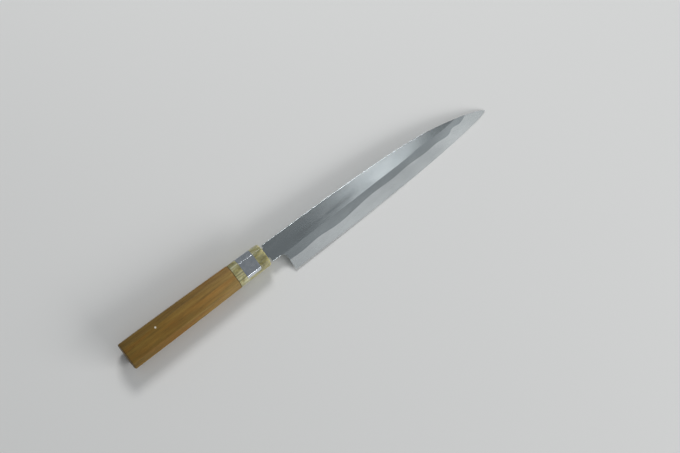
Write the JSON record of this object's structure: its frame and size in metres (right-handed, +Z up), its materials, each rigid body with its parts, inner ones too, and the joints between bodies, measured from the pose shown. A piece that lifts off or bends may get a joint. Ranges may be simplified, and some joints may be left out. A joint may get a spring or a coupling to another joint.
{
  "type": "yanagiba knife",
  "caption": "Long single-bevel slicing knife: clad steel blade with a slim tang in an eight-sided wooden handle with a pale horn ferrule.",
  "frame": {"origin": "middle of the knife's footprint, on the surface that it rests on", "axes": "+X towards the tip, +Y towards the spine, +Z up; the bevelled front of the blade faces up, rolled towards the edge"},
  "size_m": [0.3896, 0.0396, 0.0241],
  "materials": {
    "soft_iron": "satin, finely ground lengthwise",
    "hard_steel": "bright satin, ground across",
    "horn": "polished pale horn",
    "resin": "dark resin",
    "handle_wood": "sanded, lightly oiled",
    "core_wood": "bare wood",
    "foil": "plain silver foil"
  },
  "bodies": {
    "root": {"soft_iron_blade": "soft_iron", "hard_steel_edge": "hard_steel", "horn_ferrule": "horn", "tang_seal": "resin", "wooden_handle": "handle_wood", "handle_core": "core_wood", "foil_band": "foil"}
  },
  "joints": []
}
